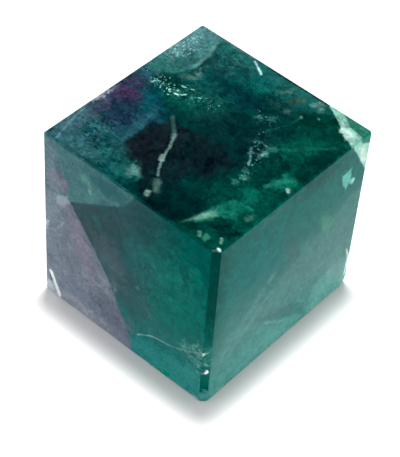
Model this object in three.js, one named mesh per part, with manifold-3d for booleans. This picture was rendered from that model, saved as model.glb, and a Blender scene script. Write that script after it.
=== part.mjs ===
// A polished cube of natural fluorite, about two inches along each edge.
//
// The cube is one natural solid: sawn to a block, ground flat on six faces and polished.
// The hand-held grinding left the top face slightly out of level, the edges broken by narrow
// bevels of uneven width, one upright edge with a wider flat, and a few chipped places.
//
// Frame: millimetres, +Z up, origin at the middle of the base. +Y runs along the longest side.
import * as THREE from "three";
import { mergeVertices } from "three/addons/utils/BufferGeometryUtils.js";
import Module from "manifold-3d";

// ---- Driving dimensions (mm) ----
const WIDTH = 49.0; // along X
const DEPTH = 50.7; // along Y
const HEIGHT = 49.5; // along Z, at the middle of the top face
const TOP_SLOPE_X = -0.015; // rise of the top face for each mm along X
const TOP_SLOPE_Y = -0.001; // rise of the top face for each mm along Y
const FLAT_LEG = 1.4; // leg of the wide flat on the near upright edge
const SAWN_SPARE = 6; // extra height of the block before its top is ground
const CUTTER_SIZE = 160; // side of the block that stands for the waste beyond a cutting plane
const SHELL_DETAIL = 5; // how finely the shell of a conchoidal chip is divided
const CRYSTAL_COLOUR = 0x2a7a70;

const HALF_X = WIDTH / 2;
const HALF_Y = DEPTH / 2;

// Height of the ground top face over a point of the base.
function topHeight(x, y) {
  return HEIGHT + TOP_SLOPE_X * x + TOP_SLOPE_Y * y;
}

// A point of the unbevelled block: right, back and up are -1 or +1.
function corner(right, back, up) {
  const x = right * HALF_X;
  const y = back * HALF_Y;
  return new THREE.Vector3(x, y, up > 0 ? topHeight(x, y) : 0);
}

const AXES = [
  new THREE.Vector3(1, 0, 0),
  new THREE.Vector3(0, 1, 0),
  new THREE.Vector3(0, 0, 1),
];

// ---- Edge bevels: the signs of the two faces that meet, and the leg at each end ----
// An edge that runs along axis 0 (X) lists its back sign and its up sign; one along axis 1 (Y)
// lists right and up; one along axis 2 (Z) lists right and back. Legs go from the low end of
// the axis to the high end.
const EDGE_BEVELS = [
  { along: 2, signs: [1, -1], legs: [FLAT_LEG, FLAT_LEG] },
  { along: 2, signs: [-1, -1], legs: [0.3, 0.35] },
  { along: 2, signs: [1, 1], legs: [0.45, 0.3] },
  { along: 2, signs: [-1, 1], legs: [0.4, 0.4] },
  { along: 0, signs: [-1, 1], legs: [0.3, 0.35] },
  { along: 0, signs: [1, 1], legs: [0.35, 0.3] },
  { along: 0, signs: [-1, -1], legs: [0.4, 0.5] },
  { along: 0, signs: [1, -1], legs: [0.4, 0.4] },
  { along: 1, signs: [1, 1], legs: [0.35, 0.3] },
  { along: 1, signs: [-1, 1], legs: [0.4, 0.35] },
  { along: 1, signs: [1, -1], legs: [0.4, 0.45] },
  { along: 1, signs: [-1, -1], legs: [0.4, 0.4] },
];

// ---- Worn facets at the foot of the near upright edge ----
// Each one is a plane through three points: the near face is rubbed back over its last
// stretch before the corner, and the upright flat is rubbed back below it.
const WEAR_START = 15.8; // x where the wear of the near face begins
const WEAR_HIGH = 3.5; // how high the wear reaches at the corner
const WEAR_DEEP = 0.25; // how far the foot of the near face is rubbed back
const FLAT_HIGH = 3.0; // how high the wear reaches on the far side of the flat
const FLAT_DEEP = 0.42; // how far the foot of the flat is rubbed back, along Y
const WEAR_TOP = new THREE.Vector3(HALF_X - FLAT_LEG, -HALF_Y, WEAR_HIGH);
const WORN_FACETS = [
  [
    new THREE.Vector3(WEAR_START, -HALF_Y, 0),
    WEAR_TOP,
    new THREE.Vector3(HALF_X - FLAT_LEG, -HALF_Y + WEAR_DEEP, 0),
  ],
  [
    WEAR_TOP,
    new THREE.Vector3(HALF_X, -HALF_Y + FLAT_LEG, FLAT_HIGH),
    new THREE.Vector3(HALF_X - FLAT_LEG, -HALF_Y + FLAT_DEEP, 0),
  ],
];

// ---- Worn and broken corners: signs of the corner and the legs cut along X, Y and Z ----
const CORNER_CUTS = [
  { at: [1, 1, -1], legs: [1.9, 2.9, 2.1] },
  { at: [1, 1, -1], legs: [0.8, 1.4, 4.6] },
  { at: [1, 1, -1], legs: [1.2, 5.4, 0.9] },
  { at: [1, -1, -1], legs: [1.8, 1.8, 0.6] },
  { at: [1, -1, 1], legs: [2.1, 2.1, 0.8] },
  { at: [-1, -1, 1], legs: [0.9, 0.9, 0.8] },
  { at: [-1, 1, 1], legs: [0.9, 1.0, 1.0] },
  { at: [1, 1, 1], legs: [0.9, 1.0, 0.9] },
  { at: [-1, 1, -1], legs: [1.4, 1.1, 1.2] },
];

// ---- The low facet at the left foot of the near face: a plane through three points ----
const LOW_FACET = [
  new THREE.Vector3(-22.4, -HALF_Y, 7.4),
  new THREE.Vector3(-20.0, -HALF_Y, 0.2),
  new THREE.Vector3(-HALF_X, -HALF_Y + 0.28, 2.0),
];

// ---- Conchoidal chips ----
// Each shell bites in at a point, against the outward direction, and is longest along its run.
const CHIPS = [
  // Two shells side by side on the left edge of the top face.
  {
    at: [-HALF_X, -8.6, topHeight(-HALF_X, -8.6)],
    outward: [-0.4, 0, 1],
    run: [0, 1, 0],
    depth: 0.42,
    halfWidth: 1.9,
    halfLength: 3.7,
  },
  {
    at: [-HALF_X, -18.6, topHeight(-HALF_X, -18.6)],
    outward: [-0.4, 0, 1],
    run: [0, 1, 0],
    depth: 0.3,
    halfWidth: 1.3,
    halfLength: 5.4,
  },
  // A long shell low on the far right upright edge.
  {
    at: [HALF_X, HALF_Y, 7.6],
    outward: [2, 1, 0],
    run: [0, 0, 1],
    depth: 0.42,
    halfWidth: 1.1,
    halfLength: 4.8,
  },
  // Two small bites in the left upright edge of the near face.
  {
    at: [-HALF_X, -HALF_Y, 22.4],
    outward: [-1, -1, 0],
    run: [0, 0, 1],
    depth: 0.45,
    halfWidth: 0.9,
    halfLength: 1.1,
  },
  {
    at: [-HALF_X + 0.4, -HALF_Y, 5.9],
    outward: [-1, -2, 0],
    run: [0, 0, 1],
    depth: 0.35,
    halfWidth: 0.8,
    halfLength: 0.7,
  },
  // The bright nick between the near face and its low facet.
  {
    at: [-22.0, -HALF_Y, 3.95],
    outward: [0, -1, 0],
    run: [0.35, 0, -1],
    depth: 0.42,
    halfWidth: 0.72,
    halfLength: 3.9,
  },
  // A flake where the wear of the near base edge begins.
  {
    at: [WEAR_START, -HALF_Y, 0],
    outward: [0, -1, -1],
    run: [1, 0, 0],
    depth: 0.5,
    halfWidth: 0.9,
    halfLength: 1.5,
  },
];

// ---- Solids ----
const wasm = await Module();
wasm.setup();

function toSolid(geometry) {
  const bare = geometry.index ? geometry.toNonIndexed() : geometry.clone();
  bare.deleteAttribute("normal");
  bare.deleteAttribute("uv");
  const merged = mergeVertices(bare, 1e-4);
  const mesh = new wasm.Mesh({
    numProp: 3,
    vertProperties: new Float32Array(merged.attributes.position.array),
    triVerts: new Uint32Array(merged.index.array),
  });
  return new wasm.Manifold(mesh);
}

function toGeometry(solid) {
  const mesh = solid.getMesh();
  const geometry = new THREE.BufferGeometry();
  const positions = new Float32Array(mesh.numVert * 3);
  for (let i = 0; i < mesh.numVert; i += 1) {
    const start = i * mesh.numProp;
    positions.set(mesh.vertProperties.subarray(start, start + 3), i * 3);
  }
  geometry.setAttribute("position", new THREE.BufferAttribute(positions, 3));
  geometry.setIndex(new THREE.BufferAttribute(mesh.triVerts, 1));
  geometry.computeVertexNormals();
  return geometry;
}

// Grinds away all that lies beyond the plane through three points, on the side away from
// the middle of the block.
function grind(solid, a, b, c) {
  const plane = new THREE.Plane().setFromCoplanarPoints(a, b, c);
  const middle = new THREE.Vector3(0, 0, HEIGHT / 2);
  if (plane.distanceToPoint(middle) > 0) plane.negate();
  const waste = new THREE.BoxGeometry(CUTTER_SIZE, CUTTER_SIZE, CUTTER_SIZE);
  waste.translate(0, 0, CUTTER_SIZE / 2);
  waste.applyQuaternion(new THREE.Quaternion().setFromUnitVectors(AXES[2], plane.normal));
  waste.translate(a.x, a.y, a.z);
  return solid.subtract(toSolid(waste));
}

// Bevels an edge from one point to another. inA and inB run into the two faces that meet
// there, and the leg may grow along the edge.
function bevel(solid, from, to, inA, inB, legFrom, legTo) {
  const first = from.clone().addScaledVector(inA, legFrom);
  const second = to.clone().addScaledVector(inA, legTo);
  const third = to.clone().addScaledVector(inB, legTo);
  return grind(solid, first, second, third);
}

function sawnBlock() {
  const tall = HEIGHT + SAWN_SPARE;
  const block = new THREE.BoxGeometry(WIDTH, DEPTH, tall);
  block.translate(0, 0, tall / 2);
  return toSolid(block);
}

function groundTop(solid) {
  return grind(solid, corner(-1, -1, 1), corner(1, -1, 1), corner(-1, 1, 1));
}

function brokenEdges(solid) {
  return EDGE_BEVELS.reduce((result, edge) => {
    const across = [0, 1, 2].filter((axis) => axis !== edge.along);
    const low = [0, 0, 0];
    low[edge.along] = -1;
    across.forEach((axis, i) => {
      low[axis] = edge.signs[i];
    });
    const high = [...low];
    high[edge.along] = 1;
    const inwards = across.map((axis, i) => AXES[axis].clone().multiplyScalar(-edge.signs[i]));
    return bevel(result, corner(...low), corner(...high), ...inwards, ...edge.legs);
  }, solid);
}

function wornFoot(solid) {
  return WORN_FACETS.reduce((result, facet) => grind(result, ...facet), solid);
}

function brokenCorners(solid) {
  return CORNER_CUTS.reduce((result, cut) => {
    const tip = corner(...cut.at);
    const points = cut.legs.map((leg, axis) =>
      tip.clone().addScaledVector(AXES[axis], -cut.at[axis] * leg),
    );
    return grind(result, ...points);
  }, solid);
}

function loweredFacet(solid) {
  return grind(solid, ...LOW_FACET);
}

// The shell of a chip is a ball whose cap has the chip's depth and half width, stretched
// along its run until the cap has the chip's half length.
function shellOf(chip) {
  const radius = (chip.halfWidth ** 2 + chip.depth ** 2) / (2 * chip.depth);
  const outward = new THREE.Vector3(...chip.outward).normalize();
  const run = new THREE.Vector3(...chip.run).normalize();
  const side = new THREE.Vector3().crossVectors(outward, run);
  const shell = new THREE.IcosahedronGeometry(radius, SHELL_DETAIL);
  shell.scale(chip.halfLength / chip.halfWidth, 1, 1);
  shell.applyMatrix4(new THREE.Matrix4().makeBasis(run, side, outward));
  const centre = new THREE.Vector3(...chip.at).addScaledVector(outward, radius - chip.depth);
  shell.translate(centre.x, centre.y, centre.z);
  return toSolid(shell);
}

function chipped(solid) {
  return CHIPS.reduce((result, chip) => result.subtract(shellOf(chip)), solid);
}

const steps = [groundTop, brokenEdges, wornFoot, brokenCorners, loweredFacet, chipped];
const crystal = steps.reduce((solid, step) => step(solid), sawnBlock());

const polishedFluorite = new THREE.MeshStandardMaterial({
  color: CRYSTAL_COLOUR,
  roughness: 0.08,
  metalness: 0,
});

const cube = new THREE.Mesh(toGeometry(crystal), polishedFluorite);
cube.name = "fluorite_cube";

const specimen = new THREE.Group();
specimen.add(cube);

export default specimen;
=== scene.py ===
# %% [markdown]
# # A polished fluorite cube
#
# The real object is a palm-sized cube sawn from one fluorite crystal, ground flat and polished. It is
# deep green and see-through, with clouds of purple and teal, pale veils, and a bright split across
# one corner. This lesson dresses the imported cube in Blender. It keeps the cube's own mesh, gives it a
# see-through finish, and sets two things that lie inside the stone as real meshes: the split at the
# corner and the sparkling flakes under the top.

import math
import random

import bmesh
import bpy
from mathutils import Matrix, Vector, noise


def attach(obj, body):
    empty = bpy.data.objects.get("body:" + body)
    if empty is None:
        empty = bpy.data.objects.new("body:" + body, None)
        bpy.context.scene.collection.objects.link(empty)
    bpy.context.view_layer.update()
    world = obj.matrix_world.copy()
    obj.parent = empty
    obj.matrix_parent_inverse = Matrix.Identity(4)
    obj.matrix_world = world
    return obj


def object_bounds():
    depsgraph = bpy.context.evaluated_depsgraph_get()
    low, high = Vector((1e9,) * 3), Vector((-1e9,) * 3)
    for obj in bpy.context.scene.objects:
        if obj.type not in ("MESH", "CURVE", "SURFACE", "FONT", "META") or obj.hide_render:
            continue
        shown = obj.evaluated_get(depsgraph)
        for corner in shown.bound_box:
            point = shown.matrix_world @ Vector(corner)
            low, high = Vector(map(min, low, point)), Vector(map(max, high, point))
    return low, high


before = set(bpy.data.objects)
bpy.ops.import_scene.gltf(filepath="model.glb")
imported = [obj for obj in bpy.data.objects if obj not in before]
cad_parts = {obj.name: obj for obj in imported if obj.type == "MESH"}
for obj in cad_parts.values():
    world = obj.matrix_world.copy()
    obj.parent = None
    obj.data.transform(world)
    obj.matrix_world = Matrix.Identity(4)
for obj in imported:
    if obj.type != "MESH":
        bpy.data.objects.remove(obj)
cad_low, cad_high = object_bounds()
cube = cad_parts["fluorite_cube"]

MM = 0.001
TOP_Z = cad_high.z / MM
HALF_X = cad_high.x / MM
HALF_Y = cad_high.y / MM
print("cube spans", [round(v / MM, 2) for v in cad_high - cad_low], "mm")

# %% [markdown]
# ## The camera
#
# The cube is seen from above one corner, from about seven cube widths away. A long lens far off keeps
# the upright edges almost parallel. The camera could be placed by hand, but its angles are easier to
# read as numbers: a turn round the cube, a height above the horizon, and a slight lean of the camera.

# %% Place the camera
CAMERA_TURN = 38.336         # degrees, as the next two are
CAMERA_HEIGHT = 46.552
CAMERA_LEAN = 4.681
CAMERA_DISTANCE = 355.66     # millimetres from the camera to what it aims at
AIM = Vector((1.39, -2.27, 22.10))
FOCAL_LENGTH = 125.14        # millimetres, on Blender's own 36 mm film
CLIP_NEAR = 0.01             # metres
CLIP_FAR = 20

turn, height, lean = (math.radians(a) for a in (CAMERA_TURN, CAMERA_HEIGHT, CAMERA_LEAN))
back = Vector((math.sin(turn) * math.cos(height), -math.cos(turn) * math.cos(height), math.sin(height)))
level_right = Vector((math.cos(turn), math.sin(turn), 0))
level_up = back.cross(level_right)
right = level_right * math.cos(lean) + level_up * math.sin(lean)
up = level_up * math.cos(lean) - level_right * math.sin(lean)

camera = bpy.data.objects.new("camera", bpy.data.cameras.new("camera"))
bpy.context.scene.collection.objects.link(camera)
camera.data.lens = FOCAL_LENGTH
camera.data.clip_start = CLIP_NEAR
camera.data.clip_end = CLIP_FAR
camera_stand = Matrix.Translation((AIM + back * CAMERA_DISTANCE) * MM)
camera_axes = Matrix((right, up, back)).transposed().to_4x4()
camera.matrix_world = camera_stand @ camera_axes
bpy.context.scene.camera = camera
print("camera stands at", [round(v / MM, 1) for v in camera.matrix_world.translation], "mm")

# %% [markdown]
# ## The table
#
# The cube stands on a plain white table in a white tent. A table could be a box with legs, but only
# its top is ever seen, so one large square is enough. It is matt, so that it mirrors nothing, and it
# lies a hair below the cube's base, so that no two faces share one place.

# %% Lay the table
TABLE_SIZE = 6.0             # metres
TABLE_DROP = 0.02            # millimetres
TABLE_WHITE = (0.86, 0.86, 0.86, 1)
TABLE_ROUGHNESS = 0.95

half = TABLE_SIZE / 2
table_mesh = bpy.data.meshes.new("table")
table_corners = [(-half, -half, 0), (half, -half, 0), (half, half, 0), (-half, half, 0)]
table_mesh.from_pydata(table_corners, [], [(0, 1, 2, 3)])
table = bpy.data.objects.new("table", table_mesh)
table.location.z = -TABLE_DROP * MM
bpy.context.scene.collection.objects.link(table)

table_finish = bpy.data.materials.new("matt_white_table")
table_finish.use_nodes = True
table_shader = table_finish.node_tree.nodes["Principled BSDF"]
table_shader.inputs["Base Color"].default_value = TABLE_WHITE
table_shader.inputs["Roughness"].default_value = TABLE_ROUGHNESS
table_shader.inputs["Specular IOR Level"].default_value = 0.0
table_mesh.materials.append(table_finish)
print("the table is", TABLE_SIZE, "m wide and", TABLE_DROP, "mm under the cube")

# %% [markdown]
# ## The light
#
# Most of the light is the tent's own even glow. One overhead softbox, a little behind the cube, gives
# the short soft shadow in front. The tent could be modelled as walls, but a world that glows costs
# nothing to render. The top face works as a mirror for one patch of the tent, high up behind the
# cube. That patch is dim, as where a studio has its ceiling, so the polished top stays deep and dark
# instead of turning grey. The view's black level is set a little above zero, as in a printed
# catalogue, and the stone's finish allows for it further down.

# %% Hang the softbox
SOFTBOX_AT = Vector((-31, 39, 620))
SOFTBOX_SIZE = 80
SOFTBOX_POWER = 4.2          # watts

softbox_light = bpy.data.lights.new("softbox", "AREA")
softbox_light.shape = "SQUARE"
softbox_light.size = SOFTBOX_SIZE * MM
softbox_light.energy = SOFTBOX_POWER
softbox = bpy.data.objects.new("softbox", softbox_light)
softbox.location = SOFTBOX_AT * MM
softbox.rotation_euler = (-SOFTBOX_AT).to_track_quat("-Z", "Y").to_euler()
bpy.context.scene.collection.objects.link(softbox)
print("the softbox hangs", SOFTBOX_AT.z, "mm above the table")

# %% Light the tent
TENT_GLOW = 0.75
CEILING_GLOW = 0.45
CEILING_WAY = Vector((-0.427, 0.539, 0.726))
CEILING_EDGE = (0.70, 0.95)  # how close to that way the dimming starts, and where it is full
PRINT_BLACK = 0.05

world = bpy.data.worlds.new("white_tent")
bpy.context.scene.world = world
world.use_nodes = True
tent = world.node_tree
looking = tent.nodes.new("ShaderNodeTexCoord")
nearness = tent.nodes.new("ShaderNodeVectorMath")
nearness.operation = "DOT_PRODUCT"
nearness.inputs[1].default_value = CEILING_WAY
dimming = tent.nodes.new("ShaderNodeMapRange")
dimming.interpolation_type = "SMOOTHSTEP"
dimming.inputs["From Min"].default_value = CEILING_EDGE[0]
dimming.inputs["From Max"].default_value = CEILING_EDGE[1]
dimming.inputs["To Min"].default_value = TENT_GLOW
dimming.inputs["To Max"].default_value = CEILING_GLOW
tent.links.new(looking.outputs["Generated"], nearness.inputs[0])
tent.links.new(nearness.outputs["Value"], dimming.inputs["Value"])
tent.nodes["Background"].inputs["Color"].default_value = (1, 1, 1, 1)
tent.links.new(dimming.outputs["Result"], tent.nodes["Background"].inputs["Strength"])

look = bpy.context.scene.view_settings
look.view_transform = "Standard"
look.use_curve_mapping = True
look.curve_mapping.black_level = (PRINT_BLACK,) * 3
look.curve_mapping.update()
print("the tent glows at", TENT_GLOW, "and its ceiling at", CEILING_GLOW)

# %% [markdown]
# ## How the stone's finish is built
#
# Fluorite is clear, so the finish is a see-through one: plain transmission, the mineral's own
# refractive index of 1.434, and plain absorption that turns long paths through the stone green. What
# makes a real cube look like more than bottle glass is the light that scatters inside it, from veils,
# growth zones and healed cracks. A picture could carry these, but a picture is flat and fixed. Here
# they are laid as washes of colour, one over another, each with its place in millimetres on the stone.
# Where a wash is pale, the stone scatters more and lets less through, as milky quartz does.

# %% A helper that grows a material one node at a time
MIX_SHARE, MIX_UNDER, MIX_COLOUR, MIX_RESULT = 0, 6, 7, 2    # the Mix node's sockets for colours


class Finish:
    """A material whose nodes are added one step at a time."""

    def __init__(self, name):
        self.material = bpy.data.materials.new(name)
        self.material.use_nodes = True
        self.tree = self.material.node_tree
        self.shader = self.tree.nodes["Principled BSDF"]
        self.output = self.tree.nodes["Material Output"]

    def feed(self, socket, value):
        """Links another node's output to a socket, or sets a plain value on it."""
        if isinstance(value, bpy.types.NodeSocket):
            self.tree.links.new(value, socket)
        else:
            socket.default_value = value

    def step(self, kind, feeds, out=0, **settings):
        """Adds one node, feeds it and gives back one of its outputs."""
        node = self.tree.nodes.new("ShaderNode" + kind)
        for name, value in settings.items():
            setattr(node, name, value)
        for socket, value in feeds.items():
            self.feed(node.inputs[socket], value)
        return node.outputs[out]

    def sums(self, operation, a, b=0.0, c=0.0):
        return self.step("Math", {0: a, 1: b, 2: c}, operation=operation)

    def vector(self, operation, a, b=(0, 0, 0), c=(0, 0, 0), out=0):
        return self.step("VectorMath", {0: a, 1: b, 2: c}, out=out, operation=operation)

    def part(self, source, way):
        """How far a place or a normal reaches along one direction."""
        return self.vector("DOT_PRODUCT", source, way, out="Value")

    def between(self, value, low, high, start=0.0, end=1.0, smooth=True):
        """A value that goes from start to end while another goes from low to high."""
        feeds = {"Value": value, "From Min": low, "From Max": high, "To Min": start, "To Max": end}
        if smooth:
            return self.step("MapRange", feeds, interpolation_type="SMOOTHSTEP", clamp=False)
        return self.step("MapRange", feeds)

    def grain(self, source, scale, detail, roughness, distortion=0.0, out="Fac"):
        """A fractal noise. Its scale is in lumps per millimetre."""
        feeds = {"Vector": source, "Scale": scale / MM, "Detail": detail, "Roughness": roughness}
        return self.step("TexNoise", {**feeds, "Distortion": distortion}, out=out)

    def over(self, under, colour, mask):
        """One colour laid over another, as thick as the mask says."""
        node = self.tree.nodes.new("ShaderNodeMix")
        node.data_type = "RGBA"
        self.feed(node.inputs[MIX_SHARE], mask)
        self.feed(node.inputs[MIX_UNDER], under)
        self.feed(node.inputs[MIX_COLOUR], colour)
        return node.outputs[MIX_RESULT]


def tint(red, green, blue):
    """The colour of a paint chip, given as 0 to 255, as linear light."""
    chip = [value / 255 for value in (red, green, blue)]
    return (*[v / 12.92 if v <= 0.04045 else ((v + 0.055) / 1.055) ** 2.4 for v in chip], 1.0)


X_WAY, Y_WAY, Z_WAY = (1, 0, 0), (0, 1, 0), (0, 0, 1)
print("the finish is grown from", len([n for n in dir(Finish) if n[0] != "_"]), "kinds of step")

# %% [markdown]
# ## Grains
#
# Every wash is torn, streaked or speckled by the same few grains, so the stone looks like one
# material. They could be made for each face by itself, but then they would stop at its edges. These
# are solid textures: they have a value at every point in space, so they run over an edge from one
# face to the next without a seam, as real growth does. One of them, the drift, moves the places
# themselves: much for clouds, and only a little for anything with a straight edge.

# %% The noises
DRIFT_NOISE = (0.3, 6.0, 0.65)               # lumps per millimetre, detail, roughness
RAGGED_NOISE = (0.7, 8.0, 0.78)
MOTTLE_NOISE = (0.42, 7.0, 0.8, 0.6)         # the fourth value is a distortion
GRIT_NOISE = (1.3, 6.0, 0.8)
STRAND_NOISE = (0.9, 6.0, 0.72, 0.8)
COMB_LEAN = (0.5, 0.4, 0.9)                  # radians
COMB_STRETCH = (0.45, 1.9, 0.8)
GLINT_NOISE = (1.3, 3.0, 0.7)
SPECKS_PER_MM = 1.7

stone = Finish("polished_fluorite")
spot = stone.step("TexCoord", {}, out="Object")
drift = stone.grain(spot, *DRIFT_NOISE, out="Color")
ragged = stone.grain(spot, *RAGGED_NOISE)
mottle = stone.grain(spot, *MOTTLE_NOISE)
grit = stone.grain(spot, *GRIT_NOISE)
combed = stone.step("Mapping", {"Vector": spot, "Rotation": COMB_LEAN, "Scale": COMB_STRETCH})
strand = stone.grain(combed, *STRAND_NOISE)
glint = stone.grain(spot, *GLINT_NOISE)
specks = stone.step("TexVoronoi", {"Vector": spot, "Scale": SPECKS_PER_MM / MM}, out="Distance")
print("the noises take", len(stone.tree.nodes), "nodes")

# %% Places in millimetres, and the grains that the washes share
NOISE_MIDDLE = 0.5
CLOUD_DRIFT = 4.0                            # millimetres of drift on the places that clouds use
LINE_DRIFT = 0.8                             # and on those that straight edges and threads use
RAGGED_SPAN = (0.25, 0.75, -1.0, 1.0)        # two levels of the noise, and what they become
PATCH_EDGE = (0.44, 0.58)                    # the level with no patch, and the one with all of it
STRAND_EDGE = (0.05, 0.0)
STRAND_GAPS = (-0.25, 0.35)
SPECK_EDGE = (0.38, 0.2)
GLINT_EDGE = (0.46, 0.56)

place = stone.vector("SCALE", spot)
place.node.inputs["Scale"].default_value = 1 / MM
drift = stone.vector("SUBTRACT", drift, (NOISE_MIDDLE,) * 3)
wander = stone.vector("MULTIPLY_ADD", drift, (CLOUD_DRIFT,) * 3, place)
steady = stone.vector("MULTIPLY_ADD", drift, (LINE_DRIFT,) * 3, place)
ragged = stone.between(ragged, *RAGGED_SPAN, False)
patchy = stone.between(mottle, *PATCH_EDGE)
strand = stone.sums("ABSOLUTE", stone.sums("SUBTRACT", strand, NOISE_MIDDLE))
strand_gaps = stone.between(ragged, *STRAND_GAPS)
fibres = stone.sums("MULTIPLY", stone.between(strand, *STRAND_EDGE), strand_gaps)
glints = stone.between(glint, *GLINT_EDGE)
flecks = stone.sums("MULTIPLY", stone.between(specks, *SPECK_EDGE), glints)
print("with the grains there are", len(stone.tree.nodes), "nodes")

# %% The same places, laid flat on the faces
def along(way):
    """How far each place reaches along a direction, with much drift and with little."""
    return [stone.part(source, way) for source in (wander, steady)]


across_x = along(X_WAY)
across_y = along(Y_WAY)
up_z = along(Z_WAY)
plan = [stone.step("CombineXYZ", {0: x, 1: y}) for x, y in zip(across_x, across_y)]
front = [stone.step("CombineXYZ", {0: x, 1: z}) for x, z in zip(across_x, up_z)]
profile = [stone.step("CombineXYZ", {0: y, 1: z}) for y, z in zip(across_y, up_z)]
print("each place is read in plan, from the front and in profile")

# %% [markdown]
# ## Washes of colour
#
# A wash needs an edge. Clouds inside a stone have torn, feathery edges, growth zones have straight
# ones, and veins are thin threads. Each is a distance to a simple shape, and a soft step turns the
# distance into a mask. The ragged grain is added to the distance before the step, which tears the
# edge at every scale at once. That is cheaper than painting detail into each cloud by hand. Every
# wash is laid with its colour, its place, how soft its edge is and how strong it is.

# %% Washes on one face
PANEL_TEAR = 0.25            # millimetres of ragged edge on a panel


class Face:
    """The washes on one face. Places are (across, up) in millimetres on that face."""

    def __init__(self, finish, places, ground):
        self.finish = finish
        self.place, self.steady = places
        self.colour = tint(*ground)
        self.count = 0

    def lay(self, colour, mask, grain=None):
        """Lays one wash over the ones before it, thinned out by a grain if there is one."""
        if grain is not None:
            mask = self.finish.sums("MULTIPLY", mask, grain)
        self.colour = self.finish.over(self.colour, tint(*colour), mask)
        self.count += 1

    def turned(self, place, centre, lean):
        """The places, turned back by a lean in degrees round a centre."""
        if not lean:
            return place
        feeds = {"Vector": place, "Center": (*centre, 0), "Angle": math.radians(-lean)}
        return self.finish.step("VectorRotate", feeds, rotation_type="Z_AXIS")

    def cloud(self, colour, at, reach, lean=0, soft=0.3, strength=1.0, grain=None, torn=0.9):
        """An oval with a torn edge. A grain thins it out into fibres, patches or flecks."""
        shrink = (1 / reach[0], 1 / reach[1], 0)
        offset = (-at[0] / reach[0], -at[1] / reach[1], 0)
        inside = self.finish.vector("MULTIPLY_ADD", self.turned(self.place, at, lean), shrink, offset)
        away = self.finish.vector("LENGTH", inside, out="Value")
        away = self.finish.sums("MULTIPLY_ADD", ragged, torn, away)
        self.lay(colour, self.finish.between(away, 1 + soft, 1 - soft, 0, strength), grain)

    def beyond(self, at, lean, soft, strength, torn=0.0):
        """How far a place is past a line through at, towards where the lean points."""
        way = (math.cos(math.radians(lean)), math.sin(math.radians(lean)), 0)
        line = way[0] * at[0] + way[1] * at[1]
        here = self.finish.part(self.steady, way)
        if torn:
            here = self.finish.sums("MULTIPLY_ADD", ragged, torn, here)
        return self.finish.between(here, line - soft, line + soft, 0, strength)

    def flank(self, colour, at, lean, soft, strength=1.0):
        """All of the face that lies past a line."""
        self.lay(colour, self.beyond(at, lean, soft, strength))

    def panel(self, colour, corners, soft, strength=1.0):
        """A flat-sided zone on the left of a line of corners, with no bend to the right in it."""
        mask = None
        for (x0, y0), (x1, y1) in zip(corners, corners[1:]):
            lean = math.degrees(math.atan2(x1 - x0, y0 - y1))
            side = self.beyond((x0, y0), lean, soft, strength, PANEL_TEAR)
            mask = side if mask is None else self.finish.sums("MINIMUM", mask, side)
        self.lay(colour, mask)

    def thread(self, colour, points, width, soft, strength, torn=0.35):
        """A line through the points, as wide as width in millimetres."""
        mask = None
        for (x0, y0), (x1, y1) in zip(points, points[1:]):
            run = math.hypot(x1 - x0, y1 - y0)
            here = self.turned(self.steady, (x0, y0), math.degrees(math.atan2(y1 - y0, x1 - x0)))
            near = self.finish.vector("MAXIMUM", here, (x0, y0, 0))
            near = self.finish.vector("MINIMUM", near, (x0 + run, y0, 0))
            away = self.finish.vector("DISTANCE", here, near, out="Value")
            away = self.finish.sums("MULTIPLY_ADD", ragged, torn * width, away)
            line = self.finish.between(away, width / 2 * (1 + soft), width / 2 * (1 - soft), 0, strength)
            mask = line if mask is None else self.finish.sums("MAXIMUM", mask, line)
        self.lay(colour, mask)


print("a face can take clouds, flanks, panels and threads")

# %% [markdown]
# ## The top
#
# The polished top shows the most. Seen from the near corner it runs from a frosty blue corner at the
# back left, through purple and blue on the left, to a window of clear dark stone in front of the
# middle and emerald green on the right. It could be one large noise, but a noise has no such order.
# So the big zones are laid first, then what lies in each of them, then the fine marks.

# %% The zones of the top
top = Face(stone, plan, (2, 62, 56))
top.flank((28, 100, 95), (0, 20.5), 90, 6.5, 0.95)
top.flank((3, 76, 61), (14, 4), 0, 3.0, 0.9)
top.cloud((2, 78, 72), (-7, 5.5), (7, 5), 8, 0.4)
top.cloud((2, 56, 60), (-4, 13), (9, 3.0), -6, 0.3, 0.9)
top.cloud((8, 48, 48), (5, 2), (9, 7), 0, 0.4, 0.9)
top.cloud((16, 86, 84), (-14, 11), (5, 4), 0, 0.4, 0.8)
top.cloud((2, 92, 86), (-3, 19), (3.4, 3.4), -30, 0.4, 0.7)
top.cloud((6, 78, 78), (-9, 17.5), (6, 2.2), -10, 0.4, 0.8)
top.cloud((0, 62, 50), (16, 18), (5.5, 4.2), -15, 0.2, 0.9, torn=0.4)
top.cloud((0, 84, 66), (17, 10.5), (2.2, 6), -38, 0.4, 0.7)
top.cloud((0, 50, 43), (22.5, 9), (2.6, 6.5), 0, 0.5, 0.9)
top.cloud((0, 50, 43), (18.6, -1.5), (3.6, 6.5), 10, 0.4, 0.85)
top.cloud((18, 72, 82), (-13.5, -10), (6.5, 8.5), 8, 0.3)
top.cloud((18, 76, 82), (-17, -18.5), (8, 6), 0, 0.4)
top.cloud((8, 74, 76), (-9, -21), (7, 3.2), -28, 0.3, 0.9)
print("the top has", top.count, "zones")

# %% [markdown]
# ## The frosty corner and the purple side
#
# One corner of the top is full of tiny cracks, so it is pale and frosty. Its inner edge follows an old
# growth face and is straight, so it is a panel. Purple runs along the side next to it, where the
# crystal took up other traces as it grew. That colour comes and goes, so it is a row of clouds.

# %% The frosty corner and the purple side of the top
FROST = [(-26, 4.2), (-18, 8), (-15.6, 13), (-18.2, 27)]

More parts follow.
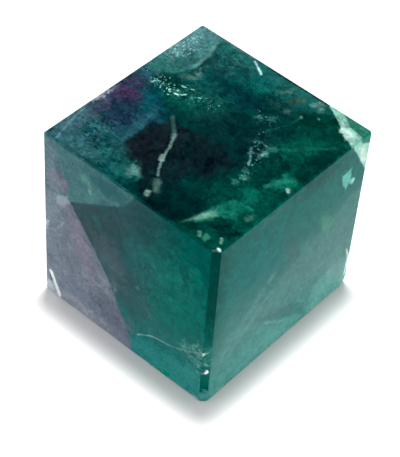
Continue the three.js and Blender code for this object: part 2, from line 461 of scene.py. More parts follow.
top.panel((66, 124, 124), FROST, 0.5, 0.9)
top.cloud((88, 140, 145), (-22.8, 20), (3.4, 6.5), 0, 0.5, 0.7)
top.cloud((30, 92, 90), (-18.8, 13.5), (2.2, 3.6), 10, 0.5, 0.6)
top.thread((96, 150, 146), [(-18.4, 24.6), (-16.3, 18), (-16, 13)], 0.8, 0.9, 0.5)
top.cloud((112, 164, 160), (-22, 15), (2.2, 3.6), 0, 0.4, 0.4, patchy)
top.cloud((44, 104, 102), (-22, 7.5), (3.2, 3), 0, 0.5, 0.8)
top.cloud((34, 86, 100), (-22, 3), (3.4, 2.2), 0, 0.4, 0.8)
top.cloud((6, 74, 86), (-15.5, -2), (5, 3.0), -20, 0.4)
top.cloud((48, 64, 84), (-22.5, -4.5), (4.6, 6.5), 0, 0.35)
top.cloud((66, 49, 82), (-20.2, -4.2), (3.2, 2.8), -20, 0.5, 0.7)
top.cloud((24, 52, 70), (-17.0, -9.5), (3.4, 4.8), 10, 0.4, 0.9)
top.cloud((70, 70, 96), (-22, -13), (2.2, 4), 0, 0.5, 0.7)
top.cloud((10, 78, 86), (-14, -4.5), (2.2, 1.4), -30, 0.4, 0.8)
top.cloud((42, 96, 106), (-11.8, -9.5), (1.0, 5.6), 8, 0.5, 0.6)
top.cloud((62, 102, 114), (-23.6, -18), (3.2, 6), 6, 0.5, 0.85)
top.cloud((56, 106, 116), (-17, -23), (6, 2.2), 0, 0.5, 0.5)
print("the top now has", top.count, "washes")

# %% [markdown]
# ## The window of clear stone
#
# Where the stone has no veils at all, one looks down into the depth, and the place turns almost
# black. Its outline is a growth zone cut by the polish, so it is a panel with straight sides. The dark
# wash is painted shade, but it stays clear in the shader, so the depth in the render is a real one too.

# %% The dark window of the top
WINDOW = [
    (8, -25.6), (11.5, -9), (10.5, -3.5), (3, -1), (-5.5, -3.2), (-10.3, -7), (-10.4, -15), (4.5, -25.6),
]

# painted shade: the dark washes of the window stand for the depth under it
top.panel((16, 42, 43), WINDOW, 0.6)
top.cloud((20, 35, 37), (-5, -11), (4.6, 7.5), 0, 0.4)
top.cloud((14, 33, 36), (4.0, -8), (5, 4.5), 0, 0.4)
top.cloud((8, 54, 52), (-3, 0), (7, 1.8), 0, 0.4, 0.8)
top.cloud((2, 64, 57), (9, -14.5), (4.0, 3.4), 15, 0.4, 0.8)
top.cloud((0, 70, 58), (11.6, -11), (2.0, 4.5), 12, 0.4, 0.6)
top.cloud((6, 48, 45), (10, -20.5), (7.5, 3.8), 10, 0.4)
top.cloud((12, 38, 38), (8, -24), (3.6, 1.8), 0, 0.3, 0.9)
top.cloud((22, 90, 86), (-4.5, -21.5), (3.2, 3.0), -38, 0.25, 0.9, torn=0.6)
top.cloud((92, 146, 138), (-3.0, -20.2), (1.0, 1.7), 5, 0.7, 0.75, torn=0.5)
print("the top now has", top.count, "washes")

# %% [markdown]
# ## The emerald corner
#
# At the near corner a healed crack lies flat under the polish and shines like a pale green leaf. A
# leaf has a clean outline, so it is a panel, with a smaller and paler one in it for the bright part,
# which is a painted glint. Most of the small marks round it are short threads and spots, because they
# are bits of the same crack. The white spot at the very corner is a painted highlight.

# %% The emerald corner of the top
LEAF = [(14.1, -23.2), (17, -20), (20.4, -14.5), (19, -11), (17.2, -11.2), (15.2, -16), (14.1, -23.2)]
LEAF_SHINE = [(14.1, -22.6), (16.3, -19.7), (17.2, -17.4), (16.2, -16.4), (15, -18.4), (14.1, -22.6)]

top.cloud((3, 72, 60), (20, -12), (6, 9), 0, 0.4)
top.panel((24, 112, 94), LEAF, 0.7, 0.8)
# painted glint: the bright part of the crack
top.panel((108, 168, 148), LEAF_SHINE, 0.6, 0.8)
top.cloud((0, 50, 42), (20.8, -19), (3.2, 2.2), 10, 0.35, 0.9)
top.cloud((10, 104, 86), (19, -8), (2.8, 1.6), -30, 0.5, 0.7)
top.cloud((14, 108, 90), (18.5, -13), (2.6, 1.2), 50, 0.5, 0.6)
top.cloud((16, 112, 92), (21.4, -0.6), (1.9, 2.6), 30, 0.4, 0.8)
top.thread((36, 134, 112), [(19.2, -4), (20.2, -0.8), (22.3, 1.6)], 1.0, 0.9, 0.55)
top.thread((168, 208, 198), [(23.3, -1.9), (22.9, -1.4)], 0.7, 0.9, 0.9)
top.cloud((64, 124, 108), (22.4, -13), (0.8, 1.0), 0, 0.6, 0.7)
top.cloud((24, 116, 96), (20.8, -11.2), (0.9, 0.8), 0, 0.5, 0.8)
top.thread((116, 172, 152), [(22.9, -22.3), (22.3, -21.4)], 0.6, 0.9, 0.75)
top.thread((92, 156, 136), [(18.4, -24.0), (17.9, -23.2)], 0.65, 0.9, 0.6)
top.cloud((60, 136, 112), (19.6, -23.2), (0.7, 0.9), 0, 0.5, 0.7)
# painted highlight at the very near corner
top.cloud((196, 228, 236), (23.9, -24.0), (0.6, 0.5), 0, 0.4, 0.95)
print("the top now has", top.count, "washes")

# %% [markdown]
# ## Wisps and veils
#
# Fine fibres and milky veils cross all the zones, as breath does on a cold window. They could be one
# noise over the whole top, but they gather in some places. So each is a cloud with the fibre grain or
# the patchy grain in it, laid where the stone is veiled.

# %% The wisps and veils of the top
top.cloud((92, 146, 142), (-12, 20), (7, 5), 0, 0.5, 0.45, fibres)
top.cloud((70, 132, 124), (-7, 6), (7, 5), 20, 0.5, 0.55, fibres)
top.cloud((100, 156, 160), (-16, -19), (9, 7), 0, 0.5, 0.6, fibres)
top.cloud((40, 122, 112), (-9, -21), (6, 4), -28, 0.5, 0.6, fibres)
top.cloud((60, 100, 118), (-15, -8), (7, 7), 0, 0.5, 0.4, fibres)
top.cloud((18, 104, 84), (17, 8), (7, 10), 0, 0.5, 0.5, fibres)
top.cloud((28, 116, 96), (20, -14), (5, 8), 0, 0.5, 0.55, fibres)
top.cloud((14, 88, 76), (3, -6), (10, 9), 0, 0.5, 0.35, fibres)
top.cloud((84, 126, 120), (3.6, 21.4), (0.8, 2.4), -30, 0.7, 0.5, patchy)
top.cloud((66, 94, 72), (6.8, 20.6), (0.8, 2.0), -30, 0.7, 0.5)
top.cloud((84, 120, 112), (6.0, 16.6), (2.2, 0.7), 0, 0.7, 0.5, patchy)
top.cloud((84, 146, 134), (11.4, 23.2), (1.3, 1.6), -25, 0.5, 0.8)
top.cloud((8, 112, 100), (-0.8, 18.8), (2.6, 1.2), 10, 0.7, 0.6)
top.cloud((3, 52, 52), (-3, 14.4), (2.4, 1.8), 0, 0.7, 0.55)
top.cloud((4, 54, 50), (-2.8, 7.0), (2.4, 1.8), 0, 0.7, 0.55)
top.cloud((12, 112, 94), (-5, 9.5), (5, 4), 20, 0.6, 0.4, fibres)
top.cloud((4, 84, 66), (-9, 1.8), (4.5, 1.5), 12, 0.6, 0.45)
top.cloud((30, 108, 94), (-19.2, 9.4), (4.0, 1.5), 32, 0.6, 0.6)
top.cloud((104, 136, 132), (-14.2, 12.2), (0.9, 2.2), 10, 0.7, 0.6, patchy)
top.cloud((96, 128, 122), (-14.6, 9.4), (1.5, 0.7), 40, 0.7, 0.55)
top.cloud((0, 60, 52), (-14.6, 5.6), (4.6, 3.0), 10, 0.4, 0.75)
print("the top now has", top.count, "washes")

# %% [markdown]
# ## The sparkles beside the purple
#
# A patch of tiny cracks beside the purple flashes pale green. The larger glints are short threads,
# each with its own place. The dust between them is too fine to place by hand, so it is a cloud with
# the fleck grain in it.

# %% The sparkles beside the purple
top.cloud((150, 218, 202), (-15, 4.6), (4.8, 2.4), 10, 0.4, 0.85, flecks)
top.thread((150, 222, 204), [(-19.3, 2.6), (-18.9, 3.4)], 0.4, 0.8, 0.8)
top.thread((140, 214, 194), [(-18.6, 3.9), (-17.9, 4.1)], 0.35, 0.8, 0.7)
top.thread((150, 224, 202), [(-14.9, 3.7), (-14.3, 3.2)], 0.35, 0.8, 0.8)
top.thread((196, 248, 228), [(-13.2, 3.5), (-12.3, 3.8)], 0.4, 0.7, 0.9)
top.thread((180, 240, 218), [(-11.9, 4.1), (-11.2, 5.0)], 0.4, 0.7, 0.85)
top.thread((150, 224, 202), [(-13.4, 6.3), (-12.7, 6.6)], 0.35, 0.8, 0.75)
top.thread((130, 210, 188), [(-11.6, 7.0), (-11.0, 7.3)], 0.35, 0.8, 0.7)
print("the top now has", top.count, "washes")

# %% [markdown]
# ## The chain of specks
#
# A chain of specks runs from behind the middle of the top towards the near corner, along a crack that
# has almost healed. It is made in the same way as the patch: flecks for the dust, small soft clouds
# for the milky spots between, and a few short threads for the brightest points.

# %% The chain of specks, and the other dust
top.cloud((140, 214, 192), (-7.2, 6.0), (3.6, 1.4), 10, 0.5, 0.8, flecks)
top.cloud((206, 236, 232), (-22, 16.5), (2.2, 4.4), 0, 0.4, 0.75, flecks)
top.cloud((110, 172, 168), (6, 12), (2.6, 2.2), 25, 0.4, 0.6, flecks)
top.cloud((124, 184, 176), (11.6, 2.0), (1.8, 6.0), 24, 0.4, 0.7, flecks)
top.cloud((96, 166, 152), (13.6, -6.5), (1.2, 3.0), 5, 0.4, 0.6, flecks)
top.cloud((70, 136, 128), (4.9, 10.8), (1.0, 0.8), 30, 0.6, 0.55, patchy)
top.cloud((70, 136, 128), (6.8, 12.6), (0.9, 0.7), 0, 0.6, 0.55)
top.cloud((66, 130, 122), (10.4, 5.2), (1.7, 0.7), 10, 0.6, 0.55, patchy)
top.cloud((60, 126, 114), (13.0, 5.6), (1.3, 0.7), 10, 0.6, 0.45, patchy)
top.cloud((84, 148, 140), (12.4, 2.9), (0.8, 1.1), 0, 0.6, 0.65)
top.thread((84, 146, 140), [(9.5, 2.5), (12.1, -0.9)], 0.5, 0.9, 0.65)
top.cloud((58, 128, 120), (12.8, -3.2), (0.8, 0.9), 0, 0.6, 0.55)
top.cloud((64, 136, 124), (14.3, -5.0), (0.8, 0.9), 0, 0.6, 0.55)
top.cloud((40, 120, 108), (13.6, -7.6), (1.1, 1.0), 0, 0.6, 0.5)
top.thread((122, 184, 174), [(12.5, 2.6), (12.7, 2.4)], 0.45, 0.9, 0.7)
top.thread((112, 176, 166), [(12.1, -1.1), (12.4, -1.6)], 0.5, 0.9, 0.7)
top.thread((104, 170, 160), [(14.6, -5.2), (14.4, -5.5)], 0.45, 0.9, 0.6)
print("the top now has", top.count, "washes")

# %% [markdown]
# ## Veins and threads
#
# The pale vein in the dark window is a crack that filled up with another mineral. It could be a
# modelled wire under the polish, but a wire down there comes out darker than the stone round it. So
# it is painted: one long thread with two knots on it, and thick drops past its near end. The fainter
# lines are old growth lines and are made in the same way.

# %% The vein and the threads of the top
VEIN = [(-4.4, -6.3), (-2.7, -9.5), (-1.5, -13.1), (0.1, -16), (1.3, -17.5)]

top.thread((130, 192, 184), [(10.8, 17.7), (11.1, 17.4)], 0.5, 0.9, 0.5)
top.thread((34, 112, 98), [(10.9, 17.2), (10.6, 14), (8.6, 9)], 0.5, 0.9, 0.25)
top.thread((96, 160, 142), [(13.9, 19.9), (14.2, 19.7)], 0.5, 0.9, 0.5)
top.thread((26, 106, 88), [(12.6, 4.6), (18, 10.6), (22.6, 15.6)], 0.8, 0.9, 0.5)
top.thread((104, 150, 156), [(-24, -12.5), (-22.9, -18), (-21.2, -24.6)], 0.5, 0.9, 0.45)
top.thread((60, 106, 100), [(-8.3, -2.4), (-6, -4.8), (-4.4, -6.4)], 0.8, 0.9, 0.7)
top.thread((100, 142, 134), VEIN, 0.55, 0.7, 0.85)
top.thread((98, 138, 130), [(-4.5, -6.2), (-4.1, -7.1)], 0.9, 0.8, 0.7)
top.thread((134, 178, 168), [(-1.8, -12.7), (-1.3, -13.5)], 1.1, 0.6, 0.9)
top.thread((76, 116, 108), [(2.3, -18.8), (4, -20.9)], 1.4, 0.9, 0.65)
top.thread((124, 166, 154), [(3.0, -22.5), (3.3, -23.0)], 1.1, 0.7, 0.85)
print("the top now has", top.count, "washes")

# %% [markdown]
# ## Along the edges of the top
#
# Ground edges catch the light, and the split at the far right corner shows on the top as a pale band.
# The split itself is a mesh further down, but it is thin and seen almost edge on, so the band on the
# surface is laid here as a panel, with a green one past it at the very corner.

# %% The edges of the top
CORNER_BAND = [(12.2, 25.4), (17.1, 22.4), (21.2, 19.9), (25.4, 17.6)]
PAST_BAND = [(16.2, 25.4), (20.4, 22.7), (25.4, 21.6)]

top.thread((84, 116, 118), [(-24.4, 24.4), (-8, 24.7)], 0.5, 0.8, 0.6)
top.thread((16, 52, 46), [(-4, 25), (12, 25)], 1.1, 0.5, 0.7)
top.thread((170, 226, 224), [(-7.8, 24.1), (-5.0, 22.5)], 0.4, 0.9, 0.8)
top.thread((184, 234, 230), [(-5.6, 22.8), (-4.1, 21.9)], 0.5, 0.9, 0.9)
top.panel((132, 190, 172), CORNER_BAND, 0.25, 0.95)
top.cloud((184, 222, 210), (21.0, 20.8), (3.4, 0.9), -32, 0.5, 0.8, torn=0.7)
top.thread((100, 160, 142), [(18.4, 23.2), (20, 22)], 0.5, 0.8, 0.6)
top.panel((32, 114, 94), PAST_BAND, 0.3, 0.95)
top.cloud((176, 188, 202), (-23.9, -8.3), (0.6, 2.2), 0, 0.6, 0.8, torn=0.5)
top.cloud((120, 128, 150), (-23.6, -5.2), (0.6, 1.6), 0, 0.6, 0.6, torn=0.5)
print("the top is done with", top.count, "washes")

# %% [markdown]
# ## The left side
#
# The left side holds the stone's clearest growth zones. A grey and purple wedge with a straight
# slanted edge fills its lower left, a blue-green cap sits above it, and right of them the stone is
# dark and turns to teal towards the near corner. Straight edges like these are old crystal faces that
# were buried as the crystal grew, so they are panels and flanks here, not clouds.

# %% The ground and the wedge of the left side
WEDGE = [(2.9, -2), (2.6, 3.5), (-5.4, 19.6), (-16.5, 34.5), (-26, 41)]

left = Face(stone, front, (46, 75, 79))
left.flank((18, 86, 82), (11, 40), 8, 9)
left.cloud((24, 100, 94), (14, 28), (9, 11), 0, 0.6, 0.7)
left.cloud((38, 92, 94), (3.5, 31), (5, 7), 0, 0.5, 0.7)
left.flank((40, 109, 106), (8, 18), -84, 9, 0.9)
left.cloud((46, 66, 70), (-1, 19), (2.0, 6), 28, 0.5, 0.6)
left.flank((56, 128, 122), (10, 7.5), -80, 2.4, 0.8)
left.panel((102, 116, 128), WEDGE, 0.35)
left.cloud((130, 141, 149), (-14, 2), (9, 2.4), 0, 0.5, 0.75)
left.cloud((112, 129, 140), (-22.4, 20), (3.6, 8), 0, 0.5, 0.7)
left.cloud((120, 118, 136), (-13, 23), (2.4, 8), 24, 0.5, 0.7)
left.cloud((84, 93, 104), (-4.4, 8), (5, 3.4), -20, 0.5, 0.7)
left.cloud((114, 134, 143), (-22.5, 31), (3.2, 8), -20, 0.4, 0.9)
left.thread((134, 148, 158), [(-24.6, 20.2), (-21, 22.5), (-18.5, 26.5)], 0.8, 0.9, 0.6)
left.cloud((88, 118, 124), (-7.6, 21), (1.1, 5.5), 27, 0.4, 0.7, patchy)
left.cloud((134, 136, 152), (-11, 14), (9, 3), 20, 0.5, 0.35, patchy)
print("the left side has", left.count, "washes")

# %% [markdown]
# ## The cap of the left side
#
# The cap grew over the wedge when the crystal's colour changed, so its lower edge is sharp too. It is
# one panel. Inside it the colour still wanders from grey-blue to green, and a few clouds do that.

# %% The cap of the left side
CAP = [(-30, 33.5), (-16.5, 34.5), (-8, 39.5), (-3, 42.8), (0.3, 46), (3, 51)]

left.panel((70, 116, 118), CAP, 0.35)
left.cloud((104, 128, 138), (-22.6, 43), (2.6, 5), 0, 0.5, 0.8)
left.cloud((84, 134, 130), (-5.5, 42.8), (7, 0.9), 35, 0.5, 0.3)
left.cloud((48, 90, 93), (-6, 40.6), (2.6, 1.6), 30, 0.6, 0.5)
left.cloud((88, 150, 132), (-11.8, 44.5), (1.6, 1.3), 0, 0.6, 0.6)
left.cloud((98, 168, 144), (-10.4, 41.6), (0.5, 0.6), 0, 0.5, 0.7)
left.cloud((98, 86, 116), (-18.6, 39.2), (1.0, 3.0), 25, 0.5, 0.8)
left.cloud((120, 128, 140), (-21, 37.5), (3.2, 3.2), 0, 0.5, 0.8)
left.cloud((150, 164, 172), (-18.9, 33), (1.2, 2.6), -35, 0.5, 0.7)
left.cloud((34, 110, 96), (-8.6, 34.4), (1.0, 0.9), 20, 0.5, 0.6)
left.cloud((48, 94, 98), (-5, 46.6), (5.5, 2.6), 0, 0.5, 0.85)
left.cloud((46, 84, 87), (3.4, 17), (3.4, 5), 20, 0.5, 0.6)
left.cloud((16, 74, 72), (17, 41), (9, 7), 0, 0.6, 0.55)
left.cloud((33, 68, 71), (7, 42), (5, 5), 0, 0.6, 0.6, torn=0.5)
print("the left side now has", left.count, "washes")

# %% [markdown]
# ## The teal part and the fine marks of the left side
#
# The teal part has no zones, only patches and fibres, so it is made of clouds, some with a grain in
# them. The longest threads come last: one that crosses the teal near the foot, a faint one along the
# edge of the wedge, the white nick where the far left foot is chipped, and a pale line along the foot.
# The nick's facet is in the mesh already, and this makes it as bright as a fresh break: its white is
# partly the break's own frost and partly a painted highlight. The pale line along the foot is a
# painted highlight on the bevel.

# %% The teal part and the fine marks of the left side
NICK_AND_GLINT = [(-22.7, 6.9), (-21.6, 4.2), (-20.2, 1.2)]

left.cloud((24, 116, 100), (14, 28), (9, 14), 0, 0.6, 0.45, patchy)
left.cloud((10, 96, 84), (15, 22), (7, 6), 0, 0.6, 0.45)
left.cloud((20, 122, 96), (19.8, 38.9), (1.4, 2.0), 15, 0.6, 0.5)
left.cloud((76, 102, 109), (-4.2, 25), (3.0, 5.5), 28, 0.8, 0.55)
left.cloud((86, 108, 116), (2.4, 8), (1.6, 2.2), 20, 0.8, 0.5)
left.cloud((84, 130, 128), (5.2, 20.5), (0.9, 3.2), 30, 0.6, 0.5, patchy)
left.thread((100, 134, 134), [(-4.6, 23.0), (-1.6, 23.4), (0.9, 22.4)], 0.3, 0.9, 0.4)
left.cloud((30, 124, 108), (14, 34), (10, 16), 0, 0.5, 0.4, fibres)
left.cloud((140, 150, 162), (-14, 16), (10, 16), 0, 0.5, 0.3, fibres)
left.cloud((92, 148, 136), (22.4, 15), (4.0, 4.0), 10, 0.5, 0.8, patchy)
left.cloud((12, 130, 92), (13.2, 1.8), (1.2, 1.0), 20, 0.5, 0.7)
left.thread((124, 164, 156), [(4.5, 7.4), (7, 9.4), (9, 10.6), (14, 11.6)], 0.4, 0.9, 0.6)
left.thread((96, 144, 136), [(14, 11.6), (18.5, 14), (24.4, 17.6)], 0.5, 0.9, 0.5)
left.thread((100, 104, 118), [(-16.4, 34.4), (-8, 21.5), (0, 9), (3.2, 0)], 0.3, 0.9, 0.6)
left.cloud((170, 184, 190), (-24, 22), (0.6, 1.6), -20, 0.5, 0.8)
left.cloud((170, 181, 186), (-22.4, 2.2), (2.4, 2.0), 0, 0.5, 0.6)
# the nick: a frosty break, with a painted highlight on it
left.thread((250, 252, 252), NICK_AND_GLINT, 1.3, 0.5, 0.95, torn=0.1)
# painted highlight along the bevel at the foot
left.thread((150, 164, 168), [(-24, 0.4), (0, 0.4), (24, 0.5)], 0.5, 0.8, 0.7)
print("the left side is done with", left.count, "washes")

# %% [markdown]
# ## The right side
#
# The right side is greyer, as it catches more of the table's reflection, and its colour gets paler
# towards the foot. Those slow changes are wide flanks. Only then come the zones, which are faint
# here: soft bands that slant across the face, and a pale block with straight edges at the foot.

# %% The ground and the bands of the right side
FOOT_BLOCK = [(30, 13), (19, 11), (9.6, 10.8), (9.8, 2), (8, -4)]

right_side = Face(stone, profile, (56, 116, 111))
right_side.flank((85, 140, 135), (0, 18), -90, 20, 0.95)
right_side.flank((94, 148, 142), (0, 7), -90, 5, 0.8)
right_side.cloud((60, 110, 107), (13, 21), (17, 10), 0, 0.6, 0.75)
right_side.cloud((34, 88, 84), (7, 47.4), (7, 3), 0, 0.6, 0.6)
right_side.flank((38, 96, 92), (-21.5, 30), 176, 3.5, 0.8)
right_side.cloud((50, 116, 116), (-9, 35), (9, 7), -20, 0.5, 0.5)
right_side.cloud((84, 118, 114), (-13, 46.8), (12, 1.9), 0, 0.6, 0.5, patchy)
right_side.cloud((72, 106, 106), (2, 28), (1.6, 12), 24, 0.6, 0.5)
right_side.cloud((74, 152, 124), (12.5, 30), (3.4, 1.5), -60, 0.5, 0.7)
right_side.cloud((76, 146, 128), (6, 28), (2.2, 1.2), -30, 0.5, 0.5)
right_side.flank((88, 142, 136), (-16, 17.5), -68, 1.4, 0.5)
right_side.cloud((104, 154, 147), (-12.5, 19.5), (8, 0.9), 44, 0.8, 0.4)
right_side.cloud((106, 156, 149), (-13, 15), (9, 0.8), 38, 0.8, 0.35)
right_side.cloud((106, 158, 150), (-5.6, 26.6), (0.6, 1.6), -30, 0.7, 0.4)
right_side.panel((104, 159, 151), FOOT_BLOCK, 0.5, 0.75)
print("the right side has", right_side.count, "washes")

# %% [markdown]
# ## The marks of the right side
#
# A grey lens lies near the foot and a small bright star high up. Both are flat cracks with an outline
# of their own, so they are panels. The pale strip down the far edge is the split at the corner again,
# where it comes out on this face. Lower on that edge a chip is painted white, partly as its frosty
# break and partly as a painted highlight, and the pale line along the foot is a painted highlight on
# the bevel.

# %% The marks of the right side
GREY_LENS = [(-9.5, 15.5), (-5.5, 12), (2, 7), (9.5, 2), (9, 6.5), (3, 11), (-9.5, 15.5)]
STAR = [(18.4, 36), (19.8, 38), (19.7, 42.2), (16.2, 41.6), (17, 38.4), (18.4, 36)]

right_side.panel((78, 122, 119), GREY_LENS, 0.4, 0.85)
right_side.thread((118, 164, 156), [(-5.6, 11.2), (1.4, 6.3)], 0.6, 0.9, 0.5)
right_side.cloud((84, 134, 128), (22, 8), (3.4, 5), 0, 0.6, 0.75)
right_side.cloud((104, 158, 150), (-3, 4), (8, 3), -24, 0.5, 0.5)
right_side.cloud((100, 150, 146), (4, 18), (18, 14), 20, 0.5, 0.25, fibres)
right_side.cloud((64, 112, 108), (0, 34), (20, 12), 20, 0.5, 0.3, fibres)
right_side.panel((112, 196, 180), STAR, 0.35, 0.9)
right_side.cloud((126, 206, 194), (20.7, 37.4), (0.9, 1.0), 0, 0.4, 0.85, torn=0.5)
right_side.thread((172, 228, 218), [(20.9, 37.2), (21, 37.6)], 0.7, 0.8, 0.8)
right_side.panel((158, 216, 196), [(16, 54), (18.4, 49.2), (25.4, 37.3)], 0.25, 0.95)
right_side.cloud((214, 240, 230), (23.4, 43.4), (1.3, 3.2), 28, 0.5, 0.85)
right_side.panel((44, 122, 104), [(19, 52), (22.2, 47.6), (25.4, 45.6)], 0.3, 0.9)
# a chip low on the far edge: frosty break with a painted highlight
right_side.thread((206, 234, 226), [(24.3, 4), (24.4, 10.5), (23.4, 13)], 0.5, 0.7, 0.8)
# painted highlight along the bevel at the foot
right_side.thread((150, 176, 170), [(-24, 0.4), (0, 0.4), (20, 0.5)], 0.5, 0.8, 0.6)
print("the right side is done with", right_side.count, "washes")

# %% [markdown]
# ## The back
#
# A cube is picked up and turned, so the sides that face away need their colours too. A growth zone
# goes right through the stone and comes out on the next side. So the back takes on the emerald of the
# top's edge and the pale zone of the frosty corner, and gets long veils of its own.

# %% Washes on the back
rear = Face(stone, front, (20, 92, 84))
rear.flank((60, 116, 118), (-16, 30), 170, 4, 0.9)
rear.flank((84, 134, 132), (0, 12), -80, 12, 0.6)
rear.cloud((4, 70, 62), (2, 32), (9, 12), 20, 0.4, 0.8)
rear.cloud((24, 112, 98), (14, 20), (6, 12), -20, 0.5, 0.7)
rear.panel((96, 140, 140), [(-30, 10), (-22, 14), (-16, 36), (-21, 52)], 0.4, 0.8)
rear.cloud((88, 146, 138), (-6, 24), (12, 1.3), 34, 0.4, 0.6, patchy)
rear.cloud((104, 156, 150), (-2, 20), (20, 18), 20, 0.5, 0.4, fibres)
rear.cloud((132, 180, 170), (-12, 13), (12, 0.6), 22, 0.7, 0.5, patchy)
rear.cloud((120, 172, 162), (8, 22), (7, 0.5), 40, 0.7, 0.5)
rear.cloud((30, 120, 102), (16, 38), (3, 2), 30, 0.5, 0.6)
rear.cloud((140, 196, 184), (-4, 41), (4.5, 2.5), -20, 0.4, 0.8, flecks)
print("the back has", rear.count, "washes")

# %% [markdown]
# ## The side left of the back
#
# The grey and purple wedge comes through to this side, and the frosty corner runs down its other end.
# The wedge has straight edges again, and what lies between is blue-green with a few veils.

# %% Washes on the side left of the back
flank_side = Face(stone, profile, (58, 98, 106))
flank_side.flank((92, 100, 118), (-3, 20), 158, 2.0, 0.9)
flank_side.flank((112, 122, 136), (0, 14), -84, 10, 0.6)
flank_side.panel((70, 122, 124), [(-26, 36), (-8, 42), (4, 52)], 0.4, 0.9)
flank_side.cloud((104, 88, 122), (-13, 27), (3, 10), 30, 0.5, 0.7)
flank_side.cloud((30, 88, 92), (14, 22), (7, 10), 0, 0.4, 0.8)
flank_side.panel((92, 142, 144), [(6, 52), (8, 40), (28, 30)], 0.4, 0.8)
flank_side.cloud((126, 140, 150), (-4, 20), (22, 18), -20, 0.5, 0.4, fibres)
flank_side.cloud((90, 132, 136), (3, 18), (14, 1.4), 40, 0.4, 0.6, patchy)
flank_side.cloud((140, 160, 168), (-14, 15), (10, 0.6), 24, 0.7, 0.5, patchy)
flank_side.cloud((118, 150, 156), (10, 23), (8, 0.5), 34, 0.7, 0.5)
print("the side left of the back has", flank_side.count, "washes")

# %% [markdown]
# ## The near upright flat
#
# The near upright edge is ground to a flat two millimetres wide. It shows straight into the depth, so
# it is almost black; that darkness is painted shade in its base colour, as the flat lets little light
# through. It has a milky spot where a crack comes out, and a white glint below it that is a painted
# highlight. It could share the left side's washes, but those are much paler, so it has a few small
# clouds of its own.

# %% Washes on the near upright flat
# painted shade: the near-black ground stands for the depth seen through the flat
near_flat = Face(stone, front, (0, 64, 57))
near_flat.cloud((2, 92, 86), (24, 15), (4, 9), 0, 0.5, 0.9)
near_flat.cloud((60, 128, 112), (24, 15.5), (2, 3.2), 0, 0.5, 0.7, patchy)
near_flat.cloud((190, 222, 214), (23.2, 16.6), (0.5, 0.35), 0, 0.4, 0.9, torn=0.5)
near_flat.cloud((110, 160, 146), (23.8, 13.2), (0.5, 0.4), 0, 0.4, 0.8)
# painted highlight: a white glint on the flat
near_flat.cloud((240, 250, 250), (23.6, 10.7), (0.45, 0.5), 0, 0.4, 0.95, torn=0.5)
near_flat.cloud((0, 80, 70), (24, 7.4), (3, 2.2), 0, 0.3, 0.9)
near_flat.cloud((64, 130, 126), (24, 1.8), (4, 1.6), 0, 0.3, 0.9)
print("the near flat has", near_flat.count, "washes")

# %% [markdown]
# ## One colour for every place
#
# Each face has its own washes now, and each place has to know which of them it takes. The mesh could
# be cut into one material per face, but then there would be hard seams along the bevels. Instead the
# direction that the surface faces picks the washes, and round a bevel one set fades into the next.

# %% Put the faces together
NEAR_WAY = (0.7071, -0.7071, 0)
TURN_TO_TOP = (0.5, 0.9)     # how squarely a place faces that way: the washes start, and are full
TURN_TO_LEFT = (-0.3, -0.6)
TURN_TO_RIGHT = (0.5, 0.9)
TURN_TO_FLANK = (-0.5, -0.9)
TURN_TO_NEAR = (0.97, 0.99)

facing = stone.step("TexCoord", {}, out="Normal")
is_top = stone.between(stone.part(facing, Z_WAY), *TURN_TO_TOP)
is_left = stone.between(stone.part(facing, Y_WAY), *TURN_TO_LEFT)
is_right = stone.between(stone.part(facing, X_WAY), *TURN_TO_RIGHT)
is_flank = stone.between(stone.part(facing, X_WAY), *TURN_TO_FLANK)
is_near = stone.between(stone.part(facing, NEAR_WAY), *TURN_TO_NEAR)
seen = stone.over(rear.colour, flank_side.colour, is_flank)
seen = stone.over(seen, left.colour, is_left)
seen = stone.over(seen, right_side.colour, is_right)
seen = stone.over(seen, near_flat.colour, is_near)
seen = stone.over(seen, top.colour, is_top)
print("the joined faces take", len(stone.tree.nodes), "nodes")

# %% [markdown]
# ## Fine speckle
#
# Even the clearest part of the stone is never one even colour. A speckle could be painted into every
# wash, but it is the same all over, so it goes on once, at the end: two grains, one coarse and one
# fine, make each place a little lighter or darker. The top takes all of it, the sides only a part.

# %% Speckle everything
MOTTLE_SHADE = (0.36, 0.64, 0.55, 1.5)       # two levels of the grain, and the shade at each
GRIT_SHADE = (0.34, 0.66, 0.6, 1.45)
SIDE_SPECKLE = 0.4                           # the part of the speckle that the sides take

shade = stone.between(mottle, *MOTTLE_SHADE, False)
flecked = stone.between(grit, *GRIT_SHADE, False)
shade = stone.sums("MULTIPLY", shade, flecked)
calm = stone.between(is_top, 0, 1, SIDE_SPECKLE, 1.0, False)
shade = stone.sums("MULTIPLY_ADD", stone.sums("SUBTRACT", shade, 1.0), calm, 1.0)
seen = stone.vector("SCALE", seen)
stone.feed(seen.node.inputs["Scale"], shade)
print("the speckle runs from", MOTTLE_SHADE[2] * GRIT_SHADE[2], "to", MOTTLE_SHADE[3] * GRIT_SHADE[3])

# %% [markdown]
# ## Wear along the edges
#
# The bevels and chips were never polished as well as the faces, and they have rubbed on things since.
# Edges could be found with a bevel node, which is slow, or by pointiness, which needs a finer mesh.
# Here the direction of the surface is enough. Its three parts, each to the fourth power, add up to
# one on a face and to less on anything that leans. The near flat is polished, so it is taken out.

# %% Find how worn each place is
WORN_LEAN = (0.97, 0.7)      # that sum where the wear starts, and where it is full

squared = stone.vector("MULTIPLY", facing, facing)
squared = stone.vector("MULTIPLY", squared, squared)
flatness = stone.part(squared, (1, 1, 1))
worn = stone.between(flatness, *WORN_LEAN)
worn = stone.sums("SUBTRACT", worn, is_near)
print("wear starts where the sum falls to", WORN_LEAN[0])

